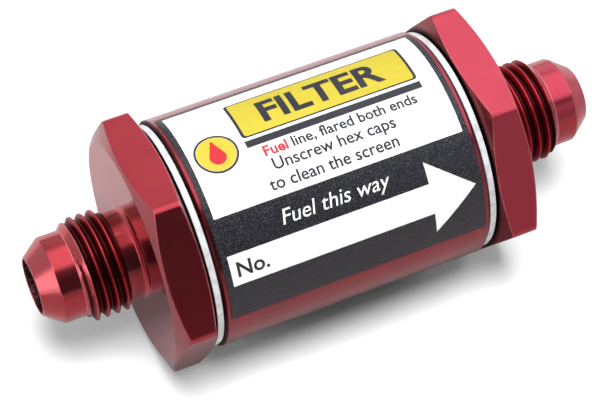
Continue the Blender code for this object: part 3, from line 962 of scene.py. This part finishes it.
def build_clip(mat):
    """Folded strip pinched over the sheet's two ends."""
    inner = PLEAT_OUTER_R + FIT_GAP
    outer, foot = inner + CLIP_THICK, inner - CLIP_DROP
    side, inside = CLIP_HALF_WIDTH, CLIP_HALF_WIDTH - CLIP_THICK
    section = [
        (side, foot), (side, inner), (inside, outer), (-inside, outer), (-side, inner),
        (-side, foot), (-inside, foot), (-inside, inner), (inside, inner), (inside, foot),
    ]
    turn = Matrix.Rotation(math.pi / PLEATS, 4, "X")
    bm = bmesh.new()
    rows = []
    for x in (CLIP_LOW.x, CLIP_HIGH.x):
        rows.append([bm.verts.new(turn @ Vector((x, radius, across))) for across, radius in section])
    for i in range(len(section)):
        j = (i + 1) % len(section)
        bm.faces.new((rows[0][i], rows[0][j], rows[1][j], rows[1][i]))
    for row in rows:
        bm.faces.new(row)
    bmesh.ops.recalc_face_normals(bm, faces=bm.faces)
    bmesh.ops.bevel(bm, geom=bm.edges[:], offset=0.04 * MM, segments=2, affect="EDGES")
    clip = finish_mesh("cartridge_seam_clip", mesh_from(bm, "cartridge_seam_clip"))
    place(clip, "cartridge", "plated_steel", [mat], "element_seam_clip")


def spring_height(turn, low, high):
    """Height of the wire's centre at a turn; the two end coils lie almost flat."""
    if turn < 1.0:
        return low + turn * END_COIL_PITCH
    if turn > SPRING_COILS - 1.0:
        return high - (SPRING_COILS - turn) * END_COIL_PITCH
    open_share = (turn - 1.0) / (SPRING_COILS - 2.0)
    return low + END_COIL_PITCH + open_share * (high - low - 2.0 * END_COIL_PITCH)


def build_spring(mat):
    """Coil of round wire with domed ends."""
    low, high = SPRING_LOW.x + WIRE_R, SPRING_HIGH.x - WIRE_R
    steps, sides, domes = 48, 14, (0.35, 0.75, 0.95)
    count = round(SPRING_COILS * steps)
    stations = [(0, share) for share in domes]
    stations += [(i, 1.0) for i in range(1, count)]
    stations += [(count, share) for share in domes[::-1]]
    bm = bmesh.new()
    rows = []
    for i, share in stations:
        turn = i / steps
        out = WIRE_R * (1.0 - math.sqrt(1.0 - (1.0 - share) ** 2)) if share < 1.0 else 0.0
        turn += (-1.0 if i else 1.0) * out / (TURN * SPRING_R)
        x, angle = spring_height(turn, low, high), TURN * turn
        row = []
        for k in range(sides):
            side = TURN * (k + 0.5) / sides
            r = SPRING_R + WIRE_R * share * math.cos(side)
            row.append(bm.verts.new((x + WIRE_R * share * math.sin(side),
                                     r * math.cos(angle), r * math.sin(angle))))
        rows.append(row)
    for near, far in zip(rows, rows[1:]):
        for k in range(sides):
            j = (k + 1) % sides
            bm.faces.new((near[k], near[j], far[j], far[k]))
    bm.faces.new(rows[0])
    bm.faces.new(rows[-1])
    spring = finish_mesh("cartridge_spring", mesh_from(bm, "cartridge_spring"))
    place(spring, "inlet_ring", "spring_steel", [mat], "element_spring")
    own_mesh(spring)


# ---------------------------------------------------------------- label

def wrap(bm, inner_r):
    """Bend a flat solid, drawn in x and y with its back at z = 0, round the barrel."""
    ys = [v.co.y for v in bm.verts]
    step = WRAP_STEP * FILM_OUTER_R
    for k in range(math.ceil(min(ys) / step), math.floor(max(ys) / step) + 1):
        geom = bm.verts[:] + bm.edges[:] + bm.faces[:]
        bmesh.ops.bisect_plane(bm, geom=geom, dist=MERGE, plane_co=(0.0, k * step, 0.0),
                               plane_no=(0.0, 1.0, 0.0))
    for v in bm.verts:
        angle, r = v.co.y / FILM_OUTER_R, inner_r + v.co.z
        v.co = (v.co.x, r * math.sin(angle), r * math.cos(angle))


def slab(outline, thick, hole=None):
    """Flat solid from an outline of (x, y) points, with an optional hole of as many points."""
    bm = bmesh.new()
    outer = [bm.verts.new((x, y, 0.0)) for x, y in outline]
    if hole is None:
        faces = bmesh.ops.triangulate(bm, faces=[bm.faces.new(outer)])["faces"]
    else:
        inner = [bm.verts.new((x, y, 0.0)) for x, y in hole]
        faces = []
        for i in range(len(outer)):
            j = (i + 1) % len(outer)
            faces.append(bm.faces.new((outer[i], outer[j], inner[j], inner[i])))
    made = bmesh.ops.extrude_face_region(bm, geom=faces, use_keep_orig=True)["geom"]
    for v in made:
        if isinstance(v, bmesh.types.BMVert):
            v.co.z += thick
    return bm


def height(angle):
    """Flat y of an angle from the top towards -Y, given in degrees."""
    return -math.radians(angle) * FILM_OUTER_R


def box_points(left, right, top, bottom):
    """Rectangle from x in mm and angles in degrees."""
    return [(left * MM, height(top)), (right * MM, height(top)),
            (right * MM, height(bottom)), (left * MM, height(bottom))]


def round_box(left, right, top, bottom, radius):
    """Rectangle with rounded corners, radius in mm."""
    x0, x1, y0, y1 = left * MM, right * MM, height(bottom), height(top)
    r = radius * MM
    centres = (x1 - r, y1 - r), (x0 + r, y1 - r), (x0 + r, y0 + r), (x1 - r, y0 + r)
    points = []
    for quarter, (cx, cy) in enumerate(centres):
        for i in range(7):
            a = (quarter + i / 6.0) * math.pi / 2.0
            points.append((cx + r * math.cos(a), cy + r * math.sin(a)))
    return points


def disc_points(x, angle, radius, count=48):
    turns = [TURN * i / count for i in range(count)]
    return [((x + radius * math.cos(a)) * MM, height(angle) + radius * MM * math.sin(a)) for a in turns]


def drop_points(x, angle, radius, tall, count=40):
    """Plain drop: a round foot drawn up to a point."""
    cx, cy = x * MM, height(angle)
    points = []
    for i in range(count):
        a = TURN * i / count
        pinch = max(math.sin(a), 0.0) ** 2
        wide = radius * MM * math.cos(a) * (1.0 - 0.55 * pinch)
        high = radius * MM * math.sin(a) + (tall - radius) * MM * pinch ** 1.5
        points.append((cx + wide, cy + high))
    return points


def letters(text, size, x, angle, weight, slant=0.0, stretch=1.0):
    """Flat solid lettering, size in mm, centred on x in mm and on an angle in degrees."""
    curve = bpy.data.curves.new("lettering", "FONT")
    curve.body = text
    curve.align_x, curve.align_y = "CENTER", "CENTER"
    curve.shear = slant
    curve.offset = weight
    curve.resolution_u = 3
    curve.extrude = 0.5
    obj = add_object("lettering", curve)
    bm = bmesh.new()
    bm.from_mesh(evaluated_mesh(obj))
    bmesh.ops.remove_doubles(bm, verts=bm.verts, dist=1e-4)
    xs = [v.co.x for v in bm.verts]
    ys = [v.co.y for v in bm.verts]
    middle = ((min(xs) + max(xs)) / 2.0, (min(ys) + max(ys)) / 2.0)
    for v in bm.verts:
        v.co = ((v.co.x - middle[0]) * size * MM * stretch + x * MM,
                (v.co.y - middle[1]) * size * MM + height(angle),
                (v.co.z + 0.5) * INK_THICK)
    bpy.data.objects.remove(obj)
    return bm


class Print:
    """One ink colour; its shapes lie in numbered layers over the film."""

    def __init__(self, name, mat):
        self.name, self.mat = name, mat
        self.parts = bmesh.new()

    def add(self, layer, flat):
        wrap(flat, FILM_OUTER_R + INK_GAP + layer * (INK_THICK + INK_GAP))
        mesh = mesh_from(flat, "shape")
        self.parts.from_mesh(mesh)
        bpy.data.meshes.remove(mesh)

    def shape(self, layer, outline, hole=None):
        self.add(layer, slab(outline, INK_THICK, hole))

    def text(self, layer, *args, **kwargs):
        self.add(layer, letters(*args, **kwargs))

    def done(self):
        mesh = mesh_from(self.parts, self.name)
        place(finish_mesh(self.name, mesh), "barrel", "label_print", [self.mat])


# The print: x in mm, angles in degrees from the top, boxes as left, right, top, bottom
ARROW_MIDDLE, ARROW_SHAFT, ARROW_HEAD = 57.7, 7.75, 18.5
ARROW_TAIL_X, ARROW_NECK_X, ARROW_TIP_X = -17.5, 11.1, 17.4
PANEL = (-17.6, 17.6, -34.1, 31.7)
PLATE = (-9.9, 15.1, -25.8, -0.6)
PLATE_FACE = (-9.5, 14.7, -25.0, -1.4)
BAR = (-9.9, 15.1, 1.1, 4.9)
BADGE = (-13.9, 2.0)
BADGE_R, BADGE_RING = 2.95, 0.30
DROP = (-13.9, 4.0)
BLACK_WORDS = (
    ("line, flared both ends", 2.1, 4.7, 9.4, 0.022),
    ("Unscrew hex caps", 2.35, 0.9, 17.5, 0.016),
    ("to clean the screen", 2.35, -0.1, 25.4, 0.016),
    ("No.", 3.0, -14.4, 57.7, 0.02),
)


def arrow_points():
    a, s, h = ARROW_MIDDLE, ARROW_SHAFT, ARROW_HEAD
    tail, neck, tip = ARROW_TAIL_X, ARROW_NECK_X, ARROW_TIP_X
    places = [(tail, a - s), (neck, a - s), (neck, a - h), (tip, a), (neck, a + h),
              (neck, a + s), (tail, a + s)]
    return [(x * MM, height(angle)) for x, angle in places]


def build_film(mat):
    left, right = FILM_LOW.x / MM, FILM_HIGH.x / MM
    outline = box_points(left, right, math.degrees(FILM_FROM), math.degrees(FILM_TO))
    film = slab(outline, FILM_OUTER_R - FILM_INNER_R)
    wrap(film, FILM_INNER_R)
    mesh = mesh_from(film, "label_film")
    place(finish_mesh("label_film", mesh), "barrel", "label_print", [mat], "body_label")


def build_print(white, dark, yellow, red):
    """Generic print: wording, a drop in a ring and a flow arrow."""
    pale = Print("label_white_print", white)
    pale.shape(0, box_points(*PANEL))
    pale.shape(0, arrow_points())
    pale.text(0, "Fuel this way", 2.9, -1.5, 42.3, 0.0, slant=0.22)

    black = Print("label_dark_print", dark)
    black.shape(1, round_box(*PLATE, 0.5))
    black.shape(1, box_points(*BAR))
    black.shape(1, disc_points(*BADGE, BADGE_R), disc_points(*BADGE, BADGE_R - BADGE_RING))
    black.text(3, "FILTER", 5.4, 2.6, -13.0, 0.03, stretch=1.1)
    for words in BLACK_WORDS:
        black.text(1, *words)

    bright = Print("label_yellow_print", yellow)
    bright.shape(2, round_box(*PLATE_FACE, 0.4))
    bright.shape(1, disc_points(*BADGE, BADGE_R - 1.1 * BADGE_RING))

    warm = Print("label_red_print", red)
    warm.shape(2, drop_points(*DROP, 1.15, 2.6))
    warm.text(1, "Fuel", 2.1, -6.5, 9.2, 0.03)
    for colour in (pale, black, bright, warm):
        colour.done()


# ---------------------------------------------------------------- stage, light, camera

CAMERA_AIM = Vector((-2.294, -1.661, -1.734)) * MM
CAMERA_DISTANCE = 325.10 * MM
CAMERA_AZIMUTH = math.radians(-25.716)
CAMERA_ELEVATION = math.radians(55.160)
CAMERA_ROLL = math.radians(1.786)
CAMERA_LENS = 144.52

# Floor paper: its own colour, and what metal mirrors of it near the camera and far behind; the dark
# near colour is painted shadow of the filter.
FLOOR_HALF = 3.0
PAPER = (0.89, 0.89, 0.89)
PAPER_NEAR = (0.255, 0.205, 0.205)
PAPER_FAR = (0.53, 0.53, 0.53)

# Light tent: level by the half turns from -Y over the top, then its card and its two sides
SKY_STOPS = (
    (-1.00, 0.40), (-0.02, 0.40), (0.02, 0.33), (0.09, 0.33), (0.16, 0.46), (0.22, 0.44),
    (0.25, 0.22), (0.28, 0.24), (0.34, 1.15), (0.50, 1.28), (0.69, 1.30), (0.78, 0.66),
    (0.88, 0.76), (1.00, 0.60),
)
CARD_LEVEL = 1.75
CARD_TINT = (1.0, 1.3, 1.2)
WARM_SIDE = (1.0, 0.97, 0.88)
COOL_SIDE = (1.0, 1.02, 1.30)

# Flag: the arc that it fills in degrees, and bands of glow as from, to, glow before, glow after
FLAG_FROM, FLAG_TO = 6.0, 80.0
FLAG_GLOW = 0.05
FLAG_BANDS = ((8.0, 15.0, 0.35, FLAG_GLOW), (50.0, 66.0, FLAG_GLOW, 0.16), (68.0, 79.0, FLAG_GLOW, 1.1))
FLAG_R = 140.0 * MM
FLAG_LEFT, FLAG_RIGHT = -190.0 * MM, 42.0 * MM

# Softboxes: the key one is placed from the camera's direction, up and right
KEY_UP = math.radians(25.0)
KEY_RIGHT = math.radians(3.0)
KEY_DISTANCE = 1.0
KEY_SIZE = 0.55
KEY_POWER = 14.0
FILL_PLACE = (0.0, 0.1, 1.1)
FILL_SIZE = 1.6
FILL_POWER = 8.0


def camera_axes():
    """The camera's right, up and back directions."""
    az, el, roll = CAMERA_AZIMUTH, CAMERA_ELEVATION, CAMERA_ROLL
    back = Vector((math.sin(az) * math.cos(el), -math.cos(az) * math.cos(el), math.sin(el)))
    level = Vector((math.cos(az), math.sin(az), 0.0))
    upright = back.cross(level)
    right = level * math.cos(roll) + upright * math.sin(roll)
    up = upright * math.cos(roll) - level * math.sin(roll)
    return right, up, back


def build_camera():
    data = bpy.data.cameras.new("camera")
    data.lens = CAMERA_LENS
    data.sensor_width = 36.0
    data.clip_start, data.clip_end = 0.01, 20.0
    camera = add_object("camera", data)
    right, up, back = camera_axes()
    turn = Matrix((right, up, back)).transposed().to_4x4()
    camera.matrix_world = Matrix.Translation(CAMERA_AIM + back * CAMERA_DISTANCE) @ turn
    bpy.context.scene.camera = camera


def stage_sheet(name, points, faces, mat):
    mesh = bpy.data.meshes.new(name)
    mesh.from_pydata(points, [], faces)
    mesh.materials.append(mat.material)
    sheet = add_object(name, mesh)
    return sheet


def build_floor():
    """Pale paper; polished metal mirrors it dimmed, so its reflections keep their depth; near the
    camera it mirrors darker, as painted shadow.
    """
    mat = Finish("studio_paper", Roughness=0.9, Specular_IOR_Level=0.2)
    mirrored = mat.node("ShaderNodeLightPath").outputs["Is Glossy Ray"]
    x, y, _ = mat.split(mat.coords)
    # Mirrored paper is darker towards the camera: painted shadow of the filter.
    behind = mat.math("MAXIMUM", mat.span(y, -20.0 * MM, 70.0 * MM),
                      mat.span(y, -14.0 * MM, -2.0 * MM, 0.0, 0.38))
    far = mat.math("MAXIMUM", behind, mat.span(x, 100.0 * MM, 400.0 * MM, 0.0, 0.7))
    mat.set("Base Color", mat.mix(mirrored, PAPER, mat.mix(far, PAPER_NEAR, PAPER_FAR)))
    from_below = mat.node("ShaderNodeNewGeometry").outputs["Backfacing"]
    mat.set("Alpha", mat.math("SUBTRACT", 1.0, from_below))
    low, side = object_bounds()[0].z, FLOOR_HALF
    corners = [(-side, -side, low), (side, -side, low), (side, side, low), (-side, side, low)]
    stage_sheet("studio_floor", corners, [(0, 1, 2, 3)], mat)


def tent_colour(sky, x, swing, peak):
    """Light of the tent by the swing about X: warm towards -X, cool and, behind, brighter at +X."""
    ramp = sky.node("ShaderNodeValToRGB")
    stops = ramp.color_ramp.elements
    while len(stops) < len(SKY_STOPS):
        stops.new(0.5)
    for stop, (turn, level) in zip(stops, SKY_STOPS):
        stop.position = (turn + 1.0) / 2.0
        stop.color = (level / peak, level / peak, level / peak, 1.0)
    sky.feed(ramp.inputs["Fac"], sky.span(swing, -1.0, 1.0))
    across = sky.span(x, 0.12, 0.38)
    far_side = sky.span(across, 0.0, 1.0, 0.70, 1.35)
    behind = sky.span(swing, 0.72, 0.82)
    level = sky.math("MULTIPLY_ADD", behind, sky.math("SUBTRACT", far_side, 1.0), 1.0)
    tint = sky.mix(across, WARM_SIDE, COOL_SIDE)
    return sky.scaled(sky.vector("MULTIPLY", ramp.outputs["Color"], tint), level)


def build_world():
    """Light tent: dark on the camera's side, a broad softbox overhead and behind, a card at -X."""
    world = bpy.data.worlds.new("studio")
    bpy.context.scene.world = world
    world.use_nodes = True
    world.node_tree.nodes.clear()
    sky = Nodes(world.node_tree)
    x, y, z = sky.split(sky.node("ShaderNodeTexCoord").outputs["Generated"])
    swing = sky.math("DIVIDE", sky.math("ARCTAN2", z, sky.math("MULTIPLY", y, -1.0)), math.pi)
    peak = max(level for _, level in SKY_STOPS)
    front = sky.math("MULTIPLY", sky.span(swing, 0.08, 0.14, 0.7, 1.0),
                     sky.span(swing, 0.47, 0.62, 1.0, 0.30))
    card = sky.scaled(tuple(CARD_LEVEL / peak * c for c in CARD_TINT), front)
    at_card = sky.span(x, -0.35, -0.65)
    glow = sky.node("ShaderNodeBackground")
    sky.feed(glow.inputs["Strength"], peak)
    sky.feed(glow.inputs["Color"], sky.mix(at_card, tent_colour(sky, x, swing, peak), card))
    out = sky.node("ShaderNodeOutputWorld")
    sky.feed(out.inputs["Surface"], glow.outputs[0])
    world.cycles_visibility.diffuse = False


def build_flag():
    """Black sheet bent round the inlet side of the set; only reflections see it."""
    mat = Finish("flag_cloth", Roughness=1.0, Specular_IOR_Level=0.0)
    mat.set("Base Color", (0.01, 0.01, 0.01))
    mat.set("Emission Color", (1.0, 1.0, 1.0))
    x, y, z = mat.split(mat.coords)
    swing = mat.math("ARCTAN2", z, mat.math("MULTIPLY", y, -1.0))
    glow = mat.span(x, 18.0 * MM, FLAG_RIGHT, FLAG_GLOW, 0.40)
    for low, high, to_low, to_high in FLAG_BANDS:
        band = mat.span(swing, math.radians(low), math.radians(high), to_low, to_high)
        glow = mat.math("MAXIMUM", glow, band)
    mat.set("Emission Strength", glow)
    columns = np.radians(np.linspace(FLAG_FROM, FLAG_TO, 25))
    points = [(x, -FLAG_R * math.cos(a), FLAG_R * math.sin(a)) for x in (FLAG_LEFT, FLAG_RIGHT)
              for a in columns]
    count = len(columns)
    faces = [(i, i + 1, count + i + 1, count + i) for i in range(count - 1)]
    flag = stage_sheet("studio_flag", points, faces, mat)
    flag.visible_camera = flag.visible_diffuse = flag.visible_shadow = False


def soft_light(name, spot, size, power, shadow):
    """Round softbox aimed at the origin; it lights surfaces and isn't mirrored in them."""
    data = bpy.data.lights.new(name, "AREA")
    data.shape = "DISK"
    data.size = size
    data.energy = power
    data.use_shadow = shadow
    light = add_object(name, data)
    light.location = spot
    light.rotation_euler = (Vector() - Vector(spot)).to_track_quat("-Z", "Y").to_euler()
    light.visible_glossy = False


def build_lights():
    right, up, back = camera_axes()
    toward = (back + math.tan(KEY_UP) * up + math.tan(KEY_RIGHT) * right).normalized()
    soft_light("key_softbox", toward * KEY_DISTANCE, KEY_SIZE, KEY_POWER, True)
    soft_light("fill_softbox", FILL_PLACE, FILL_SIZE, FILL_POWER, False)


def main():
    shaded_copy, seat, bare = shaded_red(), seat_red(), bare_aluminium()
    plate = plated_steel("plated_steel", 4.0, (0.66, 0.65, 0.62), (0.46, 0.45, 0.43))
    build_barrel(shaded_copy, seat)
    build_caps(turned_red(), drawn_red(), threaded_red(), seat, shaded_copy, bore_red(), highlight_paled_red())
    build_washer("inlet_washer", -1.0, "inlet_ring", "inlet_crush_washer", bare)
    build_washer("outlet_washer", 1.0, "outlet_ring", "outlet_crush_washer", bare)
    build_closed_end(plate)
    build_open_end(plate)
    build_core(plate)
    glue = resin()
    build_bond("cartridge_closed_end_bond", "element_closed_end_bond", glue)
    build_bond("cartridge_open_end_bond", "element_open_end_bond", glue)
    build_sheet("cartridge_filter_mesh", 0.0, "element_filter_mesh", "stainless_mesh",
                woven_wire("filter_cloth", (0.56, 0.53, 0.46), (0.12, 0.11, 0.09), 6.0))
    build_sheet("cartridge_support_screen", SHEET_DEPTH + SHEET_SPACING, "element_support_screen",
                "stainless_screen",
                woven_wire("support_cloth", (0.62, 0.62, 0.60), (0.10, 0.10, 0.10), 2.0))
    build_clip(plate)
    build_gasket(rubber())
    build_spring(plated_steel("spring_wire", 9.0, (0.50, 0.50, 0.52), (0.33, 0.33, 0.35)))
    build_film(printed_film())
    build_print(ink("ink_white", (0.84, 0.84, 0.84), (0.80, 0.80, 0.81)),
                ink("ink_dark", (0.012, 0.012, 0.017), (0.026, 0.026, 0.034)),
                ink("ink_yellow", (0.55, 0.455, 0.035), (0.51, 0.41, 0.030)),
                ink("ink_red", (0.56, 0.02, 0.03), (0.46, 0.012, 0.02)))
    build_floor()
    build_world()
    build_flag()
    build_lights()
    build_camera()
    bpy.context.scene.view_settings.view_transform = "Standard"


main()
